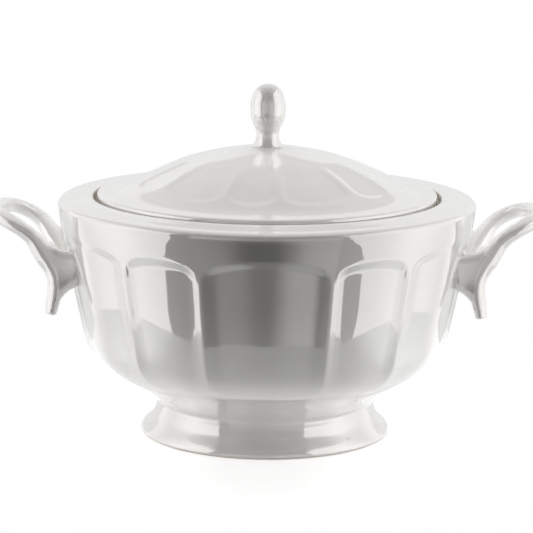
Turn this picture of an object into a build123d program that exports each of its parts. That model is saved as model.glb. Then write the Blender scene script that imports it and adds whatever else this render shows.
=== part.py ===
# Soup tureen with a lift-off lid: fluted bowl, pedestal foot, two loop handles,
# domed lid and its knob, all in white glazed porcelain.
# Millimetres. Z is up, the foot stands on Z = 0, the handles lie along X, the front faces -Y.
from build123d import *
import os

os.makedirs("parts", exist_ok=True)

# ---- driving sizes ----
neck_r = 66.8            # narrowest place, where foot and bowl are luted together
neck_z = 20.0
foot_r = 78.5            # standing ring
rim_r = 131.0            # widest place of the rim
rim_z = 151.0            # inner edge of the rim, its highest place
gallery_r = 109.5        # recess that takes the lid
ledge_z = 146.2          # ledge the lid rests on
mouth_r = 103.0          # opening of the bowl inside the ledge
floor_z = 27.0           # inside bottom of the bowl
lid_r = 106.7            # edge of the lid, 2.8 clear of the gallery wall
lid_top = 181.0          # flat land under the knob
knob_top = 220.4

wide_step = 60           # six wide and six narrow panels take turns round the bowl and lid
rib_turn = 11.5          # ribs stand this many degrees either side of a narrow panel
lid_turn = 23.5          # the lid stands turned this far in its gallery


# ================= bowl =================
# One rib of the bowl: a round bead down the meridian, sinking away at its lower end.
with BuildPart() as bowl_rib:
    with BuildLine(Plane.XZ) as bead_line:
        Spline((127.0, 126.5), (124.5, 117.5), (122.9, 110), (119.5, 88), (115.9, 72),
               (111.4, 56), (104.6, 48), (97.5, 43.5))
    with BuildSketch(bead_line.line ^ 0):
        Circle(2.0)
    sweep()

with BuildPart() as bowl:
    # collar and rim, with the gallery and ledge for the lid
    with BuildSketch(Plane.XZ):
        with BuildLine():
            Line((119.0, 123.0), (127.8, 123.0))
            Spline((127.8, 123.0), (129.7, 132.0), (130.5, 139.0), (rim_r, 144.0))
            ThreePointArc((rim_r, 144.0), (129.9, 147.3), (126.6, 148.6))
            Spline((126.6, 148.6), (119.0, 149.9), (111.5, rim_z))
            ThreePointArc((111.5, rim_z), (110.1, 150.5), (gallery_r, 149.0))
            Polyline((gallery_r, 149.0), (gallery_r, ledge_z), (mouth_r, ledge_z), (mouth_r, 142.6))
            ThreePointArc((mouth_r, 142.6), (103.7, 141.0), (105.4, 140.3))
            Line((105.4, 140.3), (115.5, 138.4))
            ThreePointArc((115.5, 138.4), (120.2, 135.8), (121.2, 131.0))
            Line((121.2, 131.0), (119.0, 123.0))
        make_face()
    revolve(axis=Axis.Z)
    # arched heads of the panels cut up into the collar
    for turn in range(0, 360, wide_step):
        wide_face = Plane((0, 0, 0), x_dir=(0, 1, 0), z_dir=(1, 0, 0)).rotated((0, 0, turn + 30))
        with BuildSketch(wide_face):
            with BuildLine():
                Line((-37.0, 118.0), (-37.0, 125.2))
                ThreePointArc((-37.0, 125.2), (0, 132.3), (37.0, 125.2))
                Polyline((37.0, 125.2), (37.0, 118.0), (-37.0, 118.0))
            make_face()
        extrude(amount=150, mode=Mode.SUBTRACT)
        narrow_face = Plane((0, 0, 0), x_dir=(0, 1, 0), z_dir=(1, 0, 0)).rotated((0, 0, turn))
        with BuildSketch(narrow_face):
            with BuildLine():
                Line((-21.6, 118.0), (-21.6, 125.2))
                ThreePointArc((-21.6, 125.2), (0, 133.0), (21.6, 125.2))
                Polyline((21.6, 125.2), (21.6, 118.0), (-21.6, 118.0))
            make_face()
        extrude(amount=150, mode=Mode.SUBTRACT)
    # wall of the bowl as far as the panels' own surface
    with BuildSketch(Plane.XZ):
        with BuildLine():
            Line((0, neck_z), (neck_r, neck_z))
            Spline((neck_r, neck_z), (71.7, 24), (82.8, 32), (96.3, 40), (106.0, 48), (112.1, 56),
                   (116.2, 72), (119.8, 88), (123.2, 110), (126.4, 125), (127.6, 133.5))
            Polyline((127.6, 133.5), (123.0, 133.5), (121.2, 131.0), (119.0, 123.0))
            Spline((119.0, 123.0), (117.4, 110), (114.0, 88), (110.3, 72), (105.6, 60), (96.0, 48.5),
                   (82.0, 38.0), (66.0, 31.0), (52.0, 27.8), (40.0, floor_z))
            Polyline((40.0, floor_z), (0, floor_z), (0, neck_z))
        make_face()
    revolve(axis=Axis.Z)
    for turn in range(0, 360, wide_step):
        for side in (-rib_turn, rib_turn):
            with Locations(Location((0, 0, 0), (0, 0, turn + side))):
                add(bowl_rib.part)
bowl.part.label = "bowl"
export_step(bowl.part, "parts/bowl.step")


# ================= pedestal foot =================
# Hollow spreading foot, luted to the flat underside of the bowl.
with BuildPart() as pedestal_foot:
    with BuildSketch(Plane.XZ):
        with BuildLine():
            Line((73.4, 0), (77.6, 0))
            ThreePointArc((77.6, 0), (78.3, 0.4), (foot_r, 1.4))
            Spline((foot_r, 1.4), (77.9, 4.2), (75.3, 7.8), (72.5, 11.6), (70.3, 15.4), (68.5, 18.3), (neck_r, neck_z))
            Line((neck_r, neck_z), (60.0, neck_z))
            Spline((60.0, neck_z), (61.8, 16.5), (67.0, 8.5), (71.4, 2.4), (73.4, 0))
        make_face()
    revolve(axis=Axis.Z)
pedestal_foot.part.label = "pedestal_foot"
export_step(pedestal_foot.part, "parts/pedestal_foot.step")


# ================= handles =================
# Each handle is one casting: a ribbon that loops out from two roots and curls down past each
# of them in a tail, and a waisted stem from every root to the bowl's wall.
# Drawn for the +X side and then mirrored.
strand_y = 32.0          # the two strands stand this far either side of the middle

# ribbon centre line from a tail's tip to the loop's outer end
ribbon = [
    (133.3, strand_y, 81.5), (132.6, strand_y, 85.5), (131.4, strand_y, 92.0), (130.9, strand_y, 98.0),
    (131.3, strand_y, 103.0), (133.4, strand_y, 109.0), (137.0, strand_y, 115.5), (140.6, strand_y, 121.3),
    (144.3, strand_y, 126.7), (149.3, 31.9, 131.1), (154.6, 30.9, 134.4), (160.2, 28.2, 137.0),
    (165.2, 22.4, 138.7), (169.4, 13.0, 139.6), (171.2, 0.0, 139.8),
]
# the ribbon's half width and half thickness at shares of its length, the tail's tip first;
# the thick place is the knuckle on its outer side
girth = [
    (0.0, 4.4, 1.9), (0.05, 5.6, 2.4), (0.11, 6.0, 2.8), (0.145, 6.0, 3.5), (0.18, 6.0, 4.5),
    (0.212, 6.0, 4.4), (0.245, 6.0, 3.3), (0.28, 5.8, 2.9), (0.5, 5.5, 2.8),
]
tail_share = 0.2         # the tail is this share of the ribbon's length

with BuildLine() as ribbon_line:
    ribbon_curve = Spline(ribbon + [(x, -y, z) for x, y, z in reversed(ribbon[:-1])])


def ribbon_section(share):
    """Plane across the ribbon at a share of its length, with its half width and thickness."""
    near = min(share, 1 - share)
    here = ribbon_curve @ share
    along = ribbon_curve % share
    across = Vector(-along.Y, along.X, 0).normalized()
    if abs(here.Y) > 31.8:
        across = Vector(0, here.Y, 0).normalized()
    for (u0, w0, t0), (u1, w1, t1) in zip(girth, girth[1:]):
        if near <= u1:
            part = (near - u0) / (u1 - u0)
            return Plane(here, x_dir=across, z_dir=along), w0 + (w1 - w0) * part, t0 + (t1 - t0) * part


# stem sections from the wall outwards: X, centre Z, lean, half width, half height
stem = [
    (108.0, 108.9, 0.0, 9.0, 10.8),
    (116.5, 108.2, 0.0, 7.0, 10.9),
    (121.0, 107.2, 0.01, 5.8, 11.8),
    (126.0, 105.2, 0.03, 5.1, 14.4),
    (131.8, 101.9, 0.06, 4.8, 19.6),
]

with BuildPart() as handle_stem:
    for x, z, lean, half_w, half_h in stem:
        with BuildSketch(Plane((x, strand_y, z), x_dir=(0, 1, 0), z_dir=(1, 0, -lean))):
            Ellipse(half_w, half_h)
    loft()

with BuildPart() as handle_tail:
    for step in range(8):
        place, half_w, half_t = ribbon_section(tail_share * step / 7)
        with BuildSketch(place):
            Ellipse(half_w, half_t)
    loft()

with BuildPart() as right_handle:
    for step in range(21):
        place, half_w, half_t = ribbon_section(tail_share + (1 - 2 * tail_share) * step / 20)
        with BuildSketch(place):
            Ellipse(half_w, half_t)
    loft()
    add(handle_tail.part)
    add(mirror(handle_tail.part, about=Plane.XZ))
    add(handle_stem.part)
    add(mirror(handle_stem.part, about=Plane.XZ))
    # seated on the wall: nothing of the stems reaches inside the bowl
    with Locations((0, 0, 110)):
        Cylinder(119.4, 70, mode=Mode.SUBTRACT)
    add(bowl.part, mode=Mode.SUBTRACT)
right_handle.part.label = "right_handle"
export_step(right_handle.part, "parts/right_handle.step")

with BuildPart() as left_handle:
    add(mirror(right_handle.part, about=Plane.YZ))
left_handle.part.label = "left_handle"
export_step(left_handle.part, "parts/left_handle.step")


# ================= lid =================
with BuildPart() as lid_rib:
    with BuildLine(Plane.XZ) as lid_bead_line:
        Spline((83.0, 157.9), (76.0, 161.2), (68.0, 164.7), (59.0, 168.7), (50.0, 171.9), (43.0, 173.2))
    with BuildSketch(lid_bead_line.line ^ 0):
        Circle(1.6)
    sweep()

with BuildPart() as lid:
    # raised band round the foot of the dome
    with BuildSketch(Plane.XZ):
        with BuildLine():
            Spline((77.0, 162.2), (84.0, 158.9), (88.0, 156.7), (92.0, 154.8), (96.0, 153.8))
            Polyline((96.0, 153.8), (96.0, 150.0), (80.0, 156.5), (77.0, 159.0), (77.0, 162.2))
        make_face()
    revolve(axis=Axis.Z)
    # scalloped heads of the panels cut into the band
    for turn in range(0, 360, wide_step):
        with BuildSketch(Plane.XY.offset(140).rotated((0, 0, turn + lid_turn + 30))):
            with BuildLine():
                Line((60.0, -23.0), (77.0, -23.4))
                ThreePointArc((77.0, -23.4), (87.0, 0), (77.0, 23.4))
                Polyline((77.0, 23.4), (60.0, 23.0), (60.0, -23.0))
            make_face()
        extrude(amount=40, mode=Mode.SUBTRACT)
        with BuildSketch(Plane.XY.offset(140).rotated((0, 0, turn + lid_turn))):
            with BuildLine():
                Line((60.0, -13.0), (79.4, -13.6))
                ThreePointArc((79.4, -13.6), (86.4, 0), (79.4, 13.6))
                Polyline((79.4, 13.6), (60.0, 13.0), (60.0, -13.0))
            make_face()
        extrude(amount=40, mode=Mode.SUBTRACT)
    # dome as far as the panels' own surface, flange, and the locating ring under it
    with BuildSketch(Plane.XZ):
        with BuildLine():
            Line((0, lid_top), (11.0, lid_top))
            Spline((11.0, lid_top), (20.0, 179.9), (30.0, 178.1), (40.0, 175.9), (50.0, 172.8), (60.0, 168.9),
                   (70.0, 164.2), (80.0, 159.4), (87.0, 155.9), (92.0, 154.2), (97.0, 153.5), (104.8, 152.8))
            ThreePointArc((104.8, 152.8), (106.2, 152.1), (lid_r, 150.7))
            Polyline((lid_r, 150.7), (lid_r, 147.2), (105.7, ledge_z), (101.6, ledge_z), (101.4, 141.0),
                     (100.4, 140.0), (98.2, 140.0), (97.2, 141.0), (97.0, 145.0))
            ThreePointArc((97.0, 145.0), (94.9, 148.0), (90.0, 150.2))
            Spline((90.0, 150.2), (80.0, 154.8), (70.0, 159.6), (60.0, 164.3), (50.0, 168.2), (40.0, 171.3),
                   (25.0, 174.6), (0, 176.3))
            Line((0, 176.3), (0, lid_top))
        make_face()
    revolve(axis=Axis.Z)
    for turn in range(0, 360, wide_step):
        for side in (-rib_turn, rib_turn):
            with Locations(Location((0, 0, 0), (0, 0, turn + lid_turn + side))):
                add(lid_rib.part)
lid.part.label = "lid"
export_step(lid.part, "parts/lid.step")


# ================= knob =================
# Egg-shaped finial on a slim neck, luted to the flat land on the lid.
with BuildPart() as lid_knob:
    with BuildSketch(Plane.XZ):
        with BuildLine():
            Line((0, lid_top), (9.9, lid_top))
            Spline((9.9, lid_top), (9.6, 182.6), (7.3, 186.0), (6.8, 189.0), (8.0, 192.6), (9.8, 197.0),
                   (10.9, 204.0), (10.4, 209.8), (8.9, 214.6), (7.1, 217.3), (4.3, 219.5), (0, knob_top))
            Line((0, knob_top), (0, lid_top))
        make_face()
    revolve(axis=Axis.Z)
lid_knob.part.label = "lid_knob"
export_step(lid_knob.part, "parts/lid_knob.step")
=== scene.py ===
import math

import bmesh
import bpy
import numpy as np
from mathutils import Matrix


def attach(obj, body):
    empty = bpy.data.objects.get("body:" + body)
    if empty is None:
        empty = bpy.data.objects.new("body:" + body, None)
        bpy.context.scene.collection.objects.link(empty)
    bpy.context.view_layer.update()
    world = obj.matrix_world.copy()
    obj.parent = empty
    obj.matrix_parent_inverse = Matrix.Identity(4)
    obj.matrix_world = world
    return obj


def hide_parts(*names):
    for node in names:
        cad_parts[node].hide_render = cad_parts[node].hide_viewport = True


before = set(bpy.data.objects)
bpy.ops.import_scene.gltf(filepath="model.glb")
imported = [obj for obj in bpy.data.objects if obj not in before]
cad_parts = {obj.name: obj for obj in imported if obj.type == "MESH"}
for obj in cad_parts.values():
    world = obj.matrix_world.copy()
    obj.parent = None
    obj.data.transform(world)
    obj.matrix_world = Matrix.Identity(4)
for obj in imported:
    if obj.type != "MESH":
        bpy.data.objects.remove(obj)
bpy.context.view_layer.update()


# ================= bowl =================
# Slip-cast porcelain bowl: a plain collar under a flat rim, a ledge inside it for the lid, and six
# wide and six narrow arched panels in its wall with a soft rib between each two. One clear glaze
# covers it inside and out; foot and handles were luted on with slip before the firing.

class Wire:
    """A socket of a material's nodes that can stand in a sum like a number."""

    def __init__(self, tree, socket=None):
        self.tree = tree
        self.socket = socket

    def node(self, kind, settings, inputs, output=0):
        """Adds a node of this kind, with settings and with values or wires on its inputs."""
        made = self.tree.nodes.new(kind)
        for key, value in settings.items():
            setattr(made, key, value)
        for key, value in inputs.items():
            if isinstance(value, Wire):
                self.tree.links.new(value.socket, made.inputs[key])
            else:
                made.inputs[key].default_value = value
        return Wire(self.tree, made.outputs[output])

    def math(self, operation, first, second=0.0):
        return self.node("ShaderNodeMath", {"operation": operation}, {0: first, 1: second})

    def __add__(self, other):
        return self.math("ADD", self, other)

    def __radd__(self, other):
        return self.math("ADD", other, self)

    def __sub__(self, other):
        return self.math("SUBTRACT", self, other)

    def __rsub__(self, other):
        return self.math("SUBTRACT", other, self)

    def __mul__(self, other):
        return self.math("MULTIPLY", self, other)

    def __rmul__(self, other):
        return self.math("MULTIPLY", other, self)

    def __gt__(self, other):
        return self.math("GREATER_THAN", self, other)

    def ramp(self, low, high):
        """0 at low, 1 at high, with a soft start and end."""
        return self.node("ShaderNodeMapRange", {"interpolation_type": "SMOOTHSTEP"},
                         {"Value": self, "From Min": low, "From Max": high})

    def blend(self, none, full):
        """Colour none where this is 0 and full where it is 1."""
        return self.node("ShaderNodeMix", {"data_type": "RGBA"}, {0: self, 6: none, 7: full}, 2)


# the glaze cool, warm, pooled in a hollow and darkened there as painted shade, thin on an edge
# and mottled, and an iron speck in it
cool_white, warm_white = (0.842, 0.835, 0.818, 1), (0.872, 0.868, 0.856, 1)
pooled_shaded_white, thin_white = (0.800, 0.796, 0.784, 1), (0.885, 0.872, 0.842, 1)
mottled_white, iron_brown = (0.835, 0.826, 0.800, 1), (0.130, 0.095, 0.070, 1)
# the body where glaze was wiped off, the stain at the glaze's edge, and painted shade on the ledge
biscuit_dark, biscuit_pale = (0.66, 0.61, 0.54, 1), (0.78, 0.74, 0.67, 1)
edge_stain, gap_shade_brown = (0.52, 0.43, 0.33, 1), (0.46, 0.425, 0.375, 1)
biscuit_rough = 0.65


def glaze(name, specks=(), bare_below=None, gap_shade=None):
    """White porcelain under clear glaze. specks are single iron specks (x, y, z, radius) in metres,
    bare_below is the height under which the body stays unglazed, and the last argument is the
    outer radius and the height of the lid's ledge, darkened there as painted shade and left rough."""
    material = bpy.data.materials.new(name)
    material.use_nodes = True
    tree = material.node_tree
    shader = tree.nodes["Principled BSDF"]
    start = Wire(tree)
    here = start.node("ShaderNodeTexCoord", {}, {}, "Object")
    edge = start.node("ShaderNodeNewGeometry", {}, {}, "Pointiness")
    height = start.node("ShaderNodeSeparateXYZ", {}, {0: here}, 2)

    # glaze lies thicker in hollows, greyed there partly as painted shade, and thinner and creamier
    #     # on the ribs and edges
    cloud = start.node("ShaderNodeTexNoise", {}, {"Vector": here, "Scale": 21.0, "Detail": 3.0}, 0)
    fine = start.node("ShaderNodeTexNoise", {}, {"Vector": here, "Scale": 260.0, "Detail": 4.0}, 0)
    colour = cloud.ramp(0.3, 0.7).blend(cool_white, warm_white)
    # painted shade: hollows are greyed as if shaded, along with the thicker glaze in them
    colour = (edge.ramp(0.5, 0.46) * 0.75).blend(colour, pooled_shaded_white)
    colour = (edge.ramp(0.52, 0.58) * 0.6).blend(colour, thin_white)
    colour = (fine.ramp(0.56, 0.72) * 0.35).blend(colour, mottled_white)

    # scattered pin-head iron specks, in one cell out of five
    cells_per_metre, cells_without = 34.0, 0.80
    cells = start.node("ShaderNodeTexVoronoi", {}, {"Vector": here, "Scale": cells_per_metre}, 0)
    chosen = start.node("ShaderNodeTexVoronoi", {}, {"Vector": here, "Scale": cells_per_metre}, 1)
    chance = start.node("ShaderNodeSeparateColor", {}, {0: chosen}, 0)
    speck = cells.ramp(0.0105, 0.006) * (chance > cells_without)
    for x, y, z, radius in specks:
        away = start.node("ShaderNodeVectorMath", {"operation": "DISTANCE"},
                          {0: here, 1: (x, y, z)}, 1)
        speck = speck.math("MAXIMUM", speck, away.ramp(radius * 1.25, radius * 0.7))
    colour = (speck * 0.8).blend(colour, iron_brown)

    smear = start.node("ShaderNodeTexNoise", {}, {"Vector": here, "Scale": 48.0, "Detail": 5.0}, 0)
    rough = 0.035 + smear.ramp(0.45, 0.75) * 0.05 + speck * 0.25
    gloss = 1.0 - speck * 0.5
    # slow waves of the casting, the skin of the glaze and small pinholes
    wave = start.node("ShaderNodeTexNoise", {}, {"Vector": here, "Scale": 24.0, "Detail": 1.0}, 0)
    skin = start.node("ShaderNodeTexNoise", {}, {"Vector": here, "Scale": 420.0, "Detail": 2.0}, 0)
    holes = start.node("ShaderNodeTexVoronoi", {}, {"Vector": here, "Scale": 90.0}, 0)
    relief = wave * 0.1 + skin * 0.0004 - holes.ramp(0.035, 0.01) * 0.009

    if bare_below is not None:
        # the sponge left a slightly wavy edge with a faint stain just above it
        grain = start.node("ShaderNodeTexNoise", {},
                           {"Vector": here, "Scale": 1500.0, "Detail": 5.0}, 0)
        level = bare_below + (smear - 0.5) * 0.0005
        bare = height.ramp(level + 0.00012, level - 0.00012)
        seam = height.ramp(level + 0.0007, level + 0.0001)
        biscuit = grain.blend(biscuit_dark, biscuit_pale)
        colour = (seam * 0.55).blend(colour, edge_stain)
        colour = bare.blend(colour, biscuit)
        rough = rough + bare * biscuit_rough
        gloss = gloss - bare * gloss
        relief = relief + bare * grain * 0.05
    if gap_shade is not None:
        # painted shade: the lid's ledge in the gap round the lid is darkened brown and made rough
        gap_r, gap_z = gap_shade
        flat = start.node("ShaderNodeVectorMath", {"operation": "MULTIPLY"},
                          {0: here, 1: (1.0, 1.0, 0.0)})
        radius = start.node("ShaderNodeVectorMath", {"operation": "LENGTH"}, {0: flat}, 1)
        within = radius.ramp(gap_r + 0.0009, gap_r + 0.0001)
        gap_shaded = within * height.ramp(gap_z - 0.001, gap_z - 0.0002)
        colour = gap_shaded.blend(colour, gap_shade_brown)
        rough = rough + gap_shaded * biscuit_rough
        gloss = gloss - gap_shaded * gloss
    bump = start.node("ShaderNodeBump", {}, {"Strength": 1.0, "Distance": 0.001, "Height": relief})

    shader.inputs["IOR"].default_value = 1.6
    shader.inputs["Coat Roughness"].default_value = 0.03
    shader.inputs["Coat IOR"].default_value = 1.7
    tree.links.new(colour.socket, shader.inputs["Base Color"])
    tree.links.new(rough.socket, shader.inputs["Roughness"])
    tree.links.new(gloss.socket, shader.inputs["Coat Weight"])
    tree.links.new(bump.socket, shader.inputs["Normal"])
    return material


def smooth_line(points, spacing):
    """Points at one spacing along a natural cubic spline through the given ones."""
    given = np.array(points, float)
    chord = np.linalg.norm(np.diff(given, axis=0), axis=1)
    at = np.concatenate(([0.0], np.cumsum(chord)))
    slope = np.diff(given, axis=0) / chord[:, None]
    count = len(given)
    system = np.eye(count)
    right = np.zeros_like(given)
    for i in range(1, count - 1):
        system[i, i - 1:i + 2] = chord[i - 1], 2 * (chord[i - 1] + chord[i]), chord[i]
        right[i] = 6 * (slope[i] - slope[i - 1])
    bend = np.linalg.solve(system, right)
    s = np.linspace(0, at[-1], max(2, round(at[-1] / spacing) + 1))
    i = np.clip(np.searchsorted(at, s, "right") - 1, 0, count - 2)
    h = chord[i][:, None]
    u = (s - at[i])[:, None]
    v = h - u
    cubes = (bend[i] * v ** 3 + bend[i + 1] * u ** 3) / (6 * h)
    lines = (given[i] / h - bend[i] * h / 6) * v, (given[i + 1] / h - bend[i + 1] * h / 6) * u
    return cubes + lines[0] + lines[1]


def soft_step(x):
    x = np.clip(x, 0, 1)
    return x * x * (3 - 2 * x)


def soft_ramp(x, start, end):
    """0 to 1 while x goes from 0 to 1, straight but for an eased start and end."""
    x = np.clip(x, 0, 1)
    rise = np.where(x < start, x ** 2 / (2 * start), x - start / 2)
    late = np.clip(x - 1 + end, 0, end)
    return (rise - late ** 2 / (2 * end)) / (1 - start / 2 - end / 2)


millimetre = 0.001


def ring_mesh(name, rings, material):
    """Smooth mesh through rings of points in millimetres; a ring of one point closes an end."""
    corners = []
    faces = []
    firsts = []
    for ring in rings:
        firsts.append(len(corners))
        corners.extend(ring)
    for a, b, start_a, start_b in zip(rings, rings[1:], firsts, firsts[1:]):
        count = max(len(a), len(b))
        for k in range(count):
            n = (k + 1) % count
            if len(a) == 1:
                faces.append((start_a, start_b + k, start_b + n))
            elif len(b) == 1:
                faces.append((start_a + k, start_b, start_a + n))
            else:
                faces.append((start_a + k, start_b + k, start_b + n, start_a + n))
    mesh = bpy.data.meshes.new(name)
    mesh.from_pydata((np.array(corners) * millimetre).tolist(), [], faces)
    work = bmesh.new()
    work.from_mesh(mesh)
    bmesh.ops.recalc_face_normals(work, faces=work.faces)
    work.to_mesh(mesh)
    work.free()
    mesh.shade_smooth()
    mesh.materials.append(material)
    piece = bpy.data.objects.new(name, mesh)
    bpy.context.scene.collection.objects.link(piece)
    return piece


def ring_at(r, z, way):
    """Ring of points; r and z are one value each, or one for each direction."""
    return np.stack((r * np.cos(way), r * np.sin(way), z + np.zeros(len(way))), 1)


# degrees that a wide and a narrow panel take together, and from a narrow one's middle to its ribs
pair_turn = 60
rib_turn = 12.1


def panel_turns(first_narrow):
    """Directions round the axis in degrees, closer together over the twelve ribs."""
    close, apart, last = 6.0, 7.0, 0.01
    near = np.arange(rib_turn - close, rib_turn + close + last, 0.3)
    inner = np.arange(-(rib_turn - apart), rib_turn - apart + last, 1.0)
    outer = np.arange(rib_turn + apart, pair_turn - rib_turn - apart + last, 1.0)
    pair = np.concatenate((inner, near, outer, pair_turn - near[::-1]))
    turns = [centre + first_narrow + pair for centre in range(0, 360, pair_turn)]
    return np.unique(np.round(np.concatenate(turns) % 360, 4))


def from_middles(turns):
    """How far each direction is from the middle of its narrow and of its wide panel."""
    from_narrow = np.abs((turns + pair_turn / 2) % pair_turn - pair_turn / 2)
    return from_narrow, np.abs(pair_turn / 2 - from_narrow)


def arched(spring, rise, from_middle, half_turn, roundness):
    """Where a panel's arched head ends in each direction, from its spring to its full rise."""
    return spring + rise * np.clip(1 - (from_middle / half_turn) ** 2, 0, 1) ** roundness


def outward(line, side):
    """Directions square to a profile; side is 1 or -1 for the side of it that is outside."""
    along = np.gradient(line, axis=0)
    square = np.stack((side * along[:, 1], -side * along[:, 0]), 1)
    return square / np.linalg.norm(along, axis=1)[:, None]


bowl_turns = panel_turns(0.0)
bowl_way = np.radians(bowl_turns)
from_narrow, from_wide = from_middles(bowl_turns)
from_rib = np.abs(from_narrow - rib_turn)
in_wide = from_narrow > rib_turn

# crest line of ribs and collar, foot end first
crest = smooth_line([(66.8, 20), (71.8, 24), (82.9, 32), (96.4, 40), (106.4, 48), (112.6, 56),
                     (117.6, 72), (121.1, 88), (125.1, 110), (127.9, 125), (129.2, 132),
                     (130.15, 138), (130.7, 142), (130.95, 145.1)], 0.6)
wide_arch = arched(124.5, 7.8, from_wide, 18.2, 0.6)
narrow_arch = arched(125.0, 8.0, from_narrow, 10.9, 0.5)
arch = np.where(in_wide, wide_arch, narrow_arch)
# height over which the collar coves down into a panel, and over which panels fade out below
cove = np.where(in_wide, 5.5 + 3.5 * (from_wide / 18.5) ** 2, 10.0)
fade_start, fade = 37.0, 31.0

bowl_rings = []
for (r, z), (out_r, out_z) in zip(crest, outward(crest, 1)):
    side = np.radians(from_rib) * r
    # wide panels swell a little in their middle, narrow ones are nearly flat across
    wide_dip = 1.9 * soft_ramp(side / 12.5, 0.12, 0.5) - 1.4 * soft_step((side - 8.0) / 30.0)
    narrow_dip = 0.4 * soft_ramp(side / 4.6, 0.1, 0.2) + 1.05 * soft_ramp(side / 9.5, 0.06, 0.35)
    head = soft_step((arch - z) / cove)
    depth = soft_step((z - fade_start) / fade) * np.where(in_wide, wide_dip, narrow_dip) * head
    bowl_rings.append(ring_at(r - out_r * depth, z - out_z * depth, bowl_way))


# floor inside the bowl, and the flat underside where the foot joins
floor_z = 27.0
join_z = 20.0
rim = [(130.95, 145.1), (130.75, 146.4), (130.0, 147.5), (128.6, 148.3), (126.6, 148.7),
       (123, 149.15), (119, 149.85), (115, 150.5), (111.9, 150.9), (110.6, 150.75), (109.6, 150.2),
       (109.0, 149.3), (108.8, 147.6), (108.6, 146.7), (108.0, 146.3), (107, 146.2), (104.4, 146.2),
       (103.5, 146.0), (103.05, 145.3), (103, 144), (103, 142.6), (103.6, 141), (105.4, 140.3),
       (110, 139.5), (115.5, 138.3), (119.2, 136.6), (121.0, 133.8), (121.1, 130.5), (119.0, 123)]
inside = [(119.0, 123), (117.4, 110), (114, 88), (110.3, 72), (105.6, 60), (96, 48.5), (82, 38),
          (66, 31), (52, 27.9), (40, 27.1), (25, floor_z), (0.0, floor_z)]
for r, z in smooth_line(rim, 0.45)[1:]:
    bowl_rings.append(ring_at(r, z, bowl_way))
for r, z in smooth_line(inside, 2.0)[1:-1]:
    bowl_rings.append(ring_at(r, z, bowl_way))
bowl_rings.append(np.array([(0.0, 0.0, floor_z)]))
underside = [np.array([(0.0, 0.0, join_z)])]
underside += [ring_at(r, join_z, bowl_way) for r in (20, 40, 58, 63)]

lone_speck = (0.0541, -0.0833, 0.0442, 0.0004)
# outer radius and height of the ledge that is darkened as painted shade in the gap round the lid
shaded_ledge = (0.109, 0.1462)
bowl_look = glaze("bowl_glaze_look", [lone_speck], gap_shade=shaded_ledge)
bowl = ring_mesh("fluted_bowl", underside + bowl_rings, bowl_look)
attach(bowl, "tureen")
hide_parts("bowl")


# ================= pedestal foot =================
# Hollow spreading foot, cast apart and luted under the bowl, where the glaze has run a soft
# hollow round the join. It stands on a ring that was wiped bare and fired unglazed.
foot_line = [(60.0, 20.0), (61.8, 16.5), (64.3, 12.6), (67.0, 8.5), (69.6, 4.9), (71.9, 2.0),
             (73.2, 0.6), (74.4, 0.0), (76.6, 0.0), (78.5, 0.05), (79.4, 0.5), (79.7, 1.4),
             (79.4, 2.8), (78.3, 4.6), (76.3, 7.0), (74.4, 9.2), (72.7, 11.4), (71.35, 13.7),
             (70.15, 16.0), (69.0, 18.0), (68.3, 19.5), (68.45, 20.9), (69.1, 22.4), (70.3, 24.2),
             (72.0, 26.4)]
foot_way = np.radians(np.arange(0, 360, 0.75))
foot_rings = [ring_at(r, max(z, 0.0), foot_way) for r, z in smooth_line(foot_line, 0.5)]
foot_wiped = 0.0011
foot_look = glaze("foot_glaze_look", bare_below=foot_wiped)
foot = ring_mesh("spreading_foot", foot_rings, foot_look)
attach(foot, "tureen")
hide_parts("pedestal_foot")


# ================= handles =================
# Two loop handles, each one casting: a ribbon that loops out from two roots, thickens to a knuckle
# and curls down past them in two tails, and a waisted stem from each root to the wall. Luted on
# with slip and glazed with the bowl.
# the two strands run straight out at strand_y, and round the loop inside straight_y
strand_y, straight_y = 32.0, 31.7
ribbon = [(133.7, strand_y, 80.0), (132.7, strand_y, 85.0), (131.4, strand_y, 92),
          (130.9, strand_y, 98), (131.3, strand_y, 103), (133.4, strand_y, 109),
          (137, strand_y, 115.5), (140.6, strand_y, 121.3), (144.3, strand_y, 126.7),
          (149.3, 31.9, 131.1), (154.6, 30.9, 134.4), (160.2, 28.2, 137), (165.2, 22.4, 138.7),
          (169.3, 13, 139.6), (171.05, 0, 139.8)]
# share of the way along, half width and half thickness of the ribbon
girth = [(0.0, 5.4, 3.8), (0.05, 6.2, 4.7), (0.11, 6.6, 4.6), (0.145, 6.8, 5.2), (0.18, 6.8, 6.0),
         (0.212, 6.8, 5.8), (0.245, 6.6, 5.0), (0.28, 6.4, 4.6), (0.5, 5.75, 4.2)]
# X, centre Z, half width, half height of the stem from inside the wall to inside the ribbon
stem = [(115.6, 108.6, 5.6, 8.6), (118.2, 107.8, 7.0, 11.4), (121.0, 107.1, 6.4, 12.0),
        (125.0, 105.5, 6.0, 14.0), (128.5, 103.7, 6.0, 16.8), (130.8, 101.9, 5.9, 19.8),
        (132.3, 107.0, 5.8, 15.4), (134.5, 114.3, 5.6, 9.2), (137.5, 120.2, 5.2, 5.0)]


handle_look = glaze("handle_glaze_look")


def superellipse(across, up, half_w, half_t, count, bevel=0.0):
    """Points round a flattened oval with rather flat faces; bevel narrows it towards minus up."""
    turn = np.linspace(0, 2 * np.pi, count, endpoint=False)
    c = np.sign(np.cos(turn)) * np.abs(np.cos(turn)) ** 0.7
    s = np.sign(np.sin(turn)) * np.abs(np.sin(turn)) ** 0.7
    c = c * (1 - bevel * np.clip(0.15 - s, 0, 1.15) ** 1.3)
    return c[:, None] * half_w * across + s[:, None] * half_t * up


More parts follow.
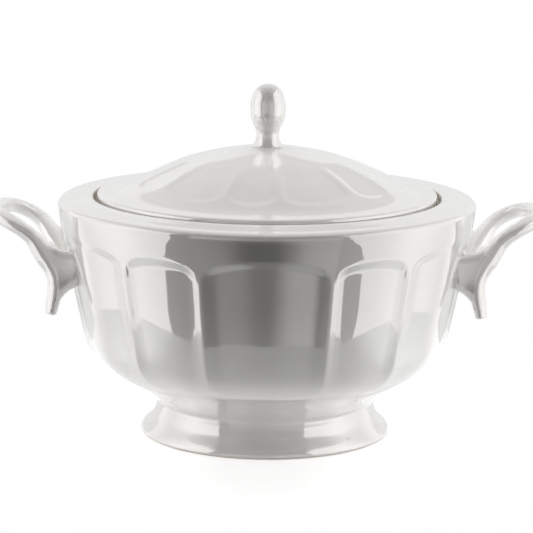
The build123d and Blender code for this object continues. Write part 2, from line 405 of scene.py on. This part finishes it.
def handle_piece(name, sign):
    """One handle; sign is 1 for the right one and -1 for its mirror image on the left."""
    line = smooth_line(ribbon + [(x, -y, z) for x, y, z in reversed(ribbon[:-1])], 1.2)
    share = np.linspace(0, 1, len(line))
    near = np.minimum(share, 1 - share)
    at, widths, thicknesses = zip(*girth)
    half_w = np.interp(near, at, widths)
    half_t = np.interp(near, at, thicknesses)
    along = np.gradient(line, axis=0)
    along /= np.linalg.norm(along, axis=1)[:, None]
    rings = []
    around = 40
    for k, (point, way) in enumerate(zip(line, along)):
        across = np.array((-way[1], way[0], 0.0))
        if abs(point[1]) > straight_y:
            across = np.array((0.0, math.copysign(1.0, point[1]), 0.0))
        across /= np.linalg.norm(across)
        up = np.cross(way, across)
        rings.append(point + superellipse(across, up, half_w[k], half_t[k], around, 0.45))
    tip = 1.6
    tips = (line[0] - along[0] * tip)[None, :], (line[-1] + along[-1] * tip)[None, :]
    parts = [[tips[0]] + rings + [tips[1]]]
    sideways, upright = np.array((0.0, 1.0, 0.0)), np.array((0.0, 0.0, 1.0))
    for side in (-1, 1):
        tube = []
        for x, z, w, h in smooth_line(stem, 1.0):
            oval = superellipse(sideways, upright, w, h, around)
            tube.append(np.array((x, side * strand_y, z)) + oval)
        parts.append([tube[0].mean(0)[None, :]] + tube + [tube[-1].mean(0)[None, :]])
    shells = [ring_mesh(name + "_raw", part, handle_look) for part in parts]
    work = bmesh.new()
    for shell in shells:
        work.from_mesh(shell.data)
        bpy.data.objects.remove(shell)
    mesh = bpy.data.meshes.new(name)
    work.to_mesh(mesh)
    work.free()
    raw = bpy.data.objects.new(name + "_raw", mesh)
    bpy.context.scene.collection.objects.link(raw)
    fuse = raw.modifiers.new("fuse", "REMESH")
    fuse.mode = "VOXEL"
    fuse.voxel_size = 0.0006
    soften = raw.modifiers.new("soften", "SMOOTH")
    soften.factor = 0.5
    soften.iterations = 9
    evaluated = raw.evaluated_get(bpy.context.evaluated_depsgraph_get())
    fused = bpy.data.meshes.new_from_object(evaluated)
    bpy.data.objects.remove(raw)
    fused.name = name
    if sign < 0:
        fused.transform(Matrix.Scale(-1, 4, (1, 0, 0)))
        fused.flip_normals()
    fused.shade_smooth()
    fused.materials.clear()
    fused.materials.append(handle_look)
    piece = bpy.data.objects.new(name, fused)
    bpy.context.scene.collection.objects.link(piece)
    return piece


for name, sign, node in (("loop_handle_right", 1, "right_handle"),
                         ("loop_handle_left", -1, "left_handle")):
    handle = handle_piece(name, sign)
    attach(handle, "tureen")
    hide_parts(node)


# ================= lid =================
# Domed lid, cast in one with its flange and the ring under it that drops inside the mouth. Its
# panels, ribs and scalloped heads echo the bowl's, turned aside because the lid sits loose.
lid_turn = 23.5
lid_turns = panel_turns(lid_turn)
lid_way = np.radians(lid_turns)
lid_narrow, lid_from_wide = from_middles(lid_turns - lid_turn)
lid_rib = np.abs(lid_narrow - rib_turn)
lid_wide = lid_narrow > rib_turn
# top of the dome outside and inside
lid_top, cavity_top = 181.0, 176.3
dome = smooth_line([(0.0, lid_top), (6, lid_top), (11, 180.9), (20, 179.9), (30, 178.1),
                    (40, 175.95), (50, 173.2), (60, 169.8), (70, 165.3), (77, 162.0), (84, 158.5),
                    (88, 156.5), (92, 154.9), (96, 153.9), (100, 153.35), (104.6, 152.8)], 0.6)
wide_scallop = arched(79.0, 8.6, lid_from_wide, 18.0, 0.6)
narrow_scallop = arched(79.5, 7.4, lid_narrow, 10.8, 0.5)
scallop = np.where(lid_wide, wide_scallop, narrow_scallop)
# width over which the flange coves into a panel, how deep panels are, and where they fade in
lid_cove, lid_depth, lid_fade_start, lid_fade = 6.5, 1.25, 43.0, 16.0

lid_rings = [np.array([(0.0, 0.0, lid_top)])]
for (r, z), (out_r, out_z) in zip(dome[1:], outward(dome, -1)[1:]):
    side = np.radians(lid_rib) * r
    flank = 0.55 * soft_step(side / 6.0) + 0.45 * soft_step(side / 13.0)
    head = soft_step((scallop - r) / lid_cove)
    depth = lid_depth * soft_step((r - lid_fade_start) / lid_fade) * flank * head
    lid_rings.append(ring_at(r - out_r * depth, z - out_z * depth, lid_way))
brim = [(104.6, 152.8), (105.5, 152.55), (106.3, 151.9), (106.65, 150.9), (106.65, 149.0),
        (106.6, 147.2), (106.2, 146.5), (105.4, 146.25), (103.5, 146.25), (102.2, 146.15),
        (101.6, 145.6), (101.45, 143.5), (101.3, 141.2), (100.8, 140.3), (99.6, 140.0),
        (98.3, 140.2), (97.4, 141.0), (97.1, 143.0), (96.7, 145.6), (95.4, 147.7), (93.0, 149.2),
        (90, 150.4)]
cavity = [(90.0, 150.4), (80, 154.8), (70, 159.6), (60, 164.3), (50, 168.2), (40, 171.3),
          (25, 174.6), (12, 176.0), (0.0, cavity_top)]
for r, z in smooth_line(brim, 0.45)[1:]:
    lid_rings.append(ring_at(r, z, lid_way))
for r, z in smooth_line(cavity, 2.0)[1:-1]:
    lid_rings.append(ring_at(r, z, lid_way))
lid_rings.append(np.array([(0.0, 0.0, cavity_top)]))
lid_speck = (0.0562, -0.0548, 0.1587, 0.0005)
lid_wiped = 0.1408
lid_look = glaze("lid_glaze_look", [lid_speck], bare_below=lid_wiped)
lid = ring_mesh("domed_lid", lid_rings, lid_look)
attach(lid, "cover")
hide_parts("lid")


# ================= lid knob =================
# Egg-shaped finial on a slim neck, thrown solid and luted to the flat land on the lid's top,
# with a soft fillet of glaze round its foot.
knob_top = 220.35
knob_line = [(10.4, 180.75), (9.7, 181.15), (9.0, 181.9), (8.2, 183.6), (7.4, 186.0), (7.0, 188.8),
             (7.4, 191.3), (8.7, 194.2), (10.0, 197.6), (10.9, 201.4), (11.1, 205.2), (10.6, 210.0),
             (9.2, 214.4), (7.2, 217.5), (4.4, 219.6), (1.7, 220.3), (0.0, knob_top)]
knob_way = np.radians(np.arange(0, 360, 4.0))
knob_rings = [ring_at(r, z, knob_way) for r, z in smooth_line(knob_line, 0.5)[:-1]]
knob_rings.append(np.array([(0.0, 0.0, knob_top)]))
knob = ring_mesh("egg_knob", knob_rings, glaze("knob_glaze_look"))
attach(knob, "cover")
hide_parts("lid_knob")


# ================= studio =================
# White table with a faint gloss in front of a white backdrop, a tall softbox either side, a grey
# ceiling, and dark room in front that the glaze mirrors.

def card(name, corners, colour, strength):
    """Flat sheet that gives off one plain colour; the camera looks through it."""
    mesh = bpy.data.meshes.new(name)
    mesh.from_pydata(corners, [], [tuple(range(len(corners)))])
    material = bpy.data.materials.new(name)
    material.use_nodes = True
    shader = material.node_tree.nodes["Principled BSDF"]
    shader.inputs["Base Color"].default_value = (0, 0, 0, 1)
    shader.inputs["Specular IOR Level"].default_value = 0
    shader.inputs["Emission Color"].default_value = colour
    shader.inputs["Emission Strength"].default_value = strength
    mesh.materials.append(material)
    sheet = bpy.data.objects.new(name, mesh)
    bpy.context.scene.collection.objects.link(sheet)
    sheet.visible_camera = False
    sheet.visible_shadow = False
    return sheet


# the table reaches further to its sides than to its front and back
table_way = np.radians(np.arange(0, 360, 2))
off_front = np.degrees(np.arcsin(np.abs(np.cos(table_way))))
table_reach = 0.2195 + 0.0665 * soft_step((off_front - 28) / 58)
table_edge = ring_at(table_reach, 0.0, table_way).tolist()
table_mesh = bpy.data.meshes.new("oval_table")
table_mesh.from_pydata(table_edge, [], [tuple(range(len(table_edge)))])
table_look = bpy.data.materials.new("table_white")
table_look.use_nodes = True
table_shader = table_look.node_tree.nodes["Principled BSDF"]
table_shader.inputs["Base Color"].default_value = (0.5, 0.5, 0.5, 1)
table_shader.inputs["Roughness"].default_value = 0.3
table_shader.inputs["Emission Color"].default_value = (1, 1, 1, 1)
# It glows white to the camera and a dim grey in the light that falls on the porcelain. In the
# glaze it mirrors a painted glow, brightest beside the foot and to its right, that stands in for
# the softboxes' light on it.
nodes = Wire(table_look.node_tree)
seen = nodes.node("ShaderNodeLightPath", {}, {}, "Is Camera Ray")
mirrored = nodes.node("ShaderNodeLightPath", {}, {}, "Is Glossy Ray")
on_table = nodes.node("ShaderNodeTexCoord", {}, {}, "Object")
across_table = nodes.node("ShaderNodeSeparateXYZ", {}, {0: on_table}, 0)
beside = across_table.math("ABSOLUTE", across_table)
ahead = -1.0 * nodes.node("ShaderNodeSeparateXYZ", {}, {0: on_table}, 1)
turned = beside.math("ARCTAN2", beside, ahead)
from_foot = nodes.node("ShaderNodeVectorMath", {"operation": "LENGTH"}, {0: on_table}, 1)
sheen = turned.ramp(0.7, 0.84) * turned.ramp(1.6, 1.15) * (0.12 + beside.ramp(0.14, 0.2) * 1.05)
glow = 0.64 + from_foot.ramp(0.2, 0.09) * turned.ramp(1.1, 0.6) * 0.2
glow = glow - turned.ramp(1.15, 1.5) * 0.12
glow = glow + across_table.ramp(0.06, 0.14) * 0.2 + sheen
dim_light, camera_lift = 0.23, 0.42
table_light = seen * camera_lift + mirrored * (glow - dim_light) + dim_light
table_look.node_tree.links.new(table_light.socket, table_shader.inputs["Emission Strength"])
table_mesh.materials.append(table_look)
table = bpy.data.objects.new("oval_table", table_mesh)
bpy.context.scene.collection.objects.link(table)

# dark room in front, with a little light on its walls either side, and the two softboxes' faces
black, lamp_white = (0, 0, 0, 1), (1.0, 0.97, 0.95, 1)
room_x, room_front, room_back = 0.74, -0.9, -0.2
room_low, room_high = -0.8, 1.1


def wall(name, start, end, strength):
    """Upright card over the line between two places (x, y), as high as the room."""
    low = [(*start, room_low), (*end, room_low)]
    high = [(*end, room_high), (*start, room_high)]
    return card(name, low + high, lamp_white, strength)


def over_card(sheet, *axes):
    """Coordinates over a card, one wire for each of the axes asked for."""
    nodes = Wire(sheet.data.materials[0].node_tree)
    on_card = nodes.node("ShaderNodeTexCoord", {}, {}, "Object")
    return [nodes.node("ShaderNodeSeparateXYZ", {}, {0: on_card}, axis) for axis in axes]


def grade_card(lit):
    """Grades a card's light over its face: dark where lit is 0, its full strength where it is 1."""
    shader = lit.tree.nodes["Principled BSDF"]
    lit.tree.links.new(lit.blend(black, lamp_white).socket, shader.inputs["Emission Color"])


front_wall = wall("front_wall", (-room_x, room_front), (room_x, room_front), 1.78)
across, up = over_card(front_wall, 0, 2)
left = across.ramp(-0.13, -0.42)
right = across.ramp(0.03, 0.42)
lit = (left * 0.35 + right * 0.8) * up.ramp(0.6, 0.3)
lit = lit + up.ramp(-0.31, -0.36) * (1.0 - left * 0.8 - right * 0.8) * 0.2
lit = lit + up.ramp(-0.2, 0.05) * (0.4 + up.ramp(0.75, 0.4) * 0.35)
grade_card(lit)
side_left = wall("side_left", (-room_x, room_back), (-room_x, room_front), 0.55)
side_right = wall("side_right", (room_x, room_back), (room_x, room_front), 1.1)
# unlit walls just behind the lit ones
dark_room = [(-0.75, room_back), (-0.75, -0.91), (0.75, -0.91), (0.75, room_back)]
for k, (start, end) in enumerate(zip(dark_room, dark_room[1:])):
    wall(f"dark_room_{k}", start, end, 0.0)
ceiling_x, ceiling_back = 1.5, 1.83
ceiling = [(-ceiling_x, room_front, room_high), (ceiling_x, room_front, room_high),
           (ceiling_x, ceiling_back, room_high), (-ceiling_x, ceiling_back, room_high)]
card("ceiling", ceiling, lamp_white, 0.5)
# outlines (y, z) of the softboxes' faces, whose front edges reach further forward higher up
face_x, face_strength = 0.7, 3.7
left_face = [(-0.43, -0.7), (-0.43, -0.3), (-0.60, -0.1), (-0.60, 0.25), (-0.56, 0.8), (0.6, 0.9),
             (0.6, -0.7)]
right_face = [(-0.5, -0.7), (-0.5, -0.28), (-0.766, -0.1), (-0.766, 0.3), (-0.72, 1.0), (0.6, 1.0),
              (0.6, -0.7)]
softbox_faces = [card("softbox_face_left", [(-face_x, y, z) for y, z in left_face],
                      lamp_white, face_strength),
                 card("softbox_face_right", [(face_x, y, z) for y, z in right_face],
                      lamp_white, face_strength)]
for face in softbox_faces:
    back, = over_card(face, 1)
    grade_card(1.0 - back.ramp(-0.2, 0.3) * 0.62)
# these show in the glaze only; the lamps below give their light
for sheet in (front_wall, side_left, side_right, *softbox_faces):
    sheet.visible_diffuse = False

# name, place, tilt in degrees, width, height and radiance of each lamp
lamps = [("softbox_left", (-0.72, 0.05, 0.3), (90, 0, -90), 0.6, 0.9, 1.95),
         ("softbox_right", (0.72, 0.05, 0.3), (90, 0, 90), 0.6, 0.9, 1.95),
         ("top_light", (0.0, 0.3, 1.09), (0, 0, 0), 1.2, 0.6, 2.5)]
for name, place, tilt, wide, high, radiance in lamps:
    lamp_data = bpy.data.lights.new(name, "AREA")
    lamp_data.shape = "RECTANGLE"
    lamp_data.size = wide
    lamp_data.size_y = high
    lamp_data.energy = radiance * math.pi * wide * high
    lamp = bpy.data.objects.new(name, lamp_data)
    lamp.location = place
    lamp.rotation_euler = [math.radians(angle) for angle in tilt]
    lamp.visible_glossy = False
    bpy.context.scene.collection.objects.link(lamp)

# white backdrop for the camera, a touch greyer in the glaze and dimmer as a light
world = bpy.data.worlds.new("white_backdrop")
world.use_nodes = True
sky = Wire(world.node_tree)
camera_ray = sky.node("ShaderNodeLightPath", {}, {}, "Is Camera Ray")
mirror_ray = sky.node("ShaderNodeLightPath", {}, {}, "Is Glossy Ray")
level = 0.75 + mirror_ray * 0.03 + camera_ray * 0.25
background = world.node_tree.nodes["Background"]
background.inputs["Color"].default_value = (1, 1, 1, 1)
world.node_tree.links.new(level.socket, background.inputs["Strength"])
bpy.context.scene.world = world
bpy.context.scene.view_settings.view_transform = "Standard"

camera_data = bpy.data.cameras.new("camera")
camera_data.lens = 158.3
camera_data.sensor_width = 36.0
camera = bpy.data.objects.new("camera", camera_data)
camera_place = (0.0, -1.4538, 0.3907)
camera_tilt, camera_roll = math.radians(78.859), math.radians(0.559)
aim = Matrix.Rotation(camera_tilt, 4, "X") @ Matrix.Rotation(camera_roll, 4, "Z")
camera.matrix_world = Matrix.Translation(camera_place) @ aim
bpy.context.scene.collection.objects.link(camera)
bpy.context.scene.camera = camera
